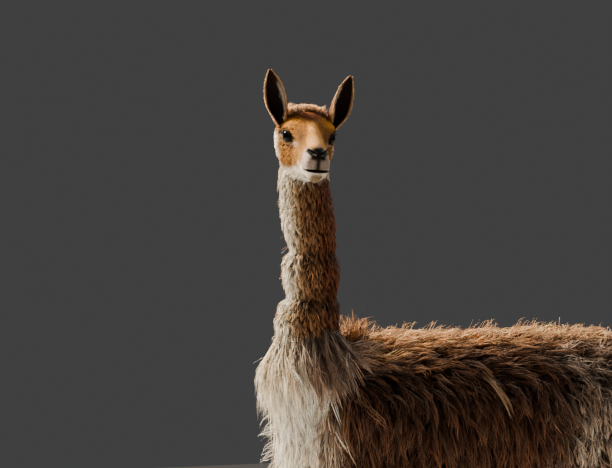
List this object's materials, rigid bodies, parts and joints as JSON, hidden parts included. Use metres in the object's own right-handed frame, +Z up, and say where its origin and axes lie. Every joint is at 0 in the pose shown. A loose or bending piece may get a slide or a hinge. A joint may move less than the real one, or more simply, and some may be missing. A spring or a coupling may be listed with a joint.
{
  "type": "vicuna",
  "caption": "Life-size still model of a standing vicuna in a long winter coat, its head turned to look out over its left side.",
  "frame": {"origin": "on the floor, under the middle of the model's bounding box", "axes": "+Z up; the body faces -X, and its left side is towards -Y"},
  "size_m": [0.994, 0.375, 1.4217],
  "materials": {
    "fawn_coat": "short dense fawn fur",
    "russet_coat": "long silky cinnamon hair",
    "cream_coat": "long silky cream hair",
    "eye_gloss": "wet, glossy near-black",
    "horn": "dull dark horn"
  },
  "bodies": {
    "root": {"torso": "russet_coat", "tail": "russet_coat", "chest_bib": "cream_coat", "neck": "fawn_coat", "head": "fawn_coat", "ear_left": "fawn_coat", "ear_right": "fawn_coat", "eye_left": "eye_gloss", "eye_right": "eye_gloss", "leg_front_left": "fawn_coat", "leg_front_right": "fawn_coat", "leg_rear_left": "fawn_coat", "leg_rear_right": "fawn_coat", "toenail_front_left_inner": "horn", "toenail_front_left_outer": "horn", "toenail_front_right_inner": "horn", "toenail_front_right_outer": "horn", "toenail_rear_left_inner": "horn", "toenail_rear_left_outer": "horn", "toenail_rear_right_inner": "horn", "toenail_rear_right_outer": "horn"}
  },
  "joints": []
}
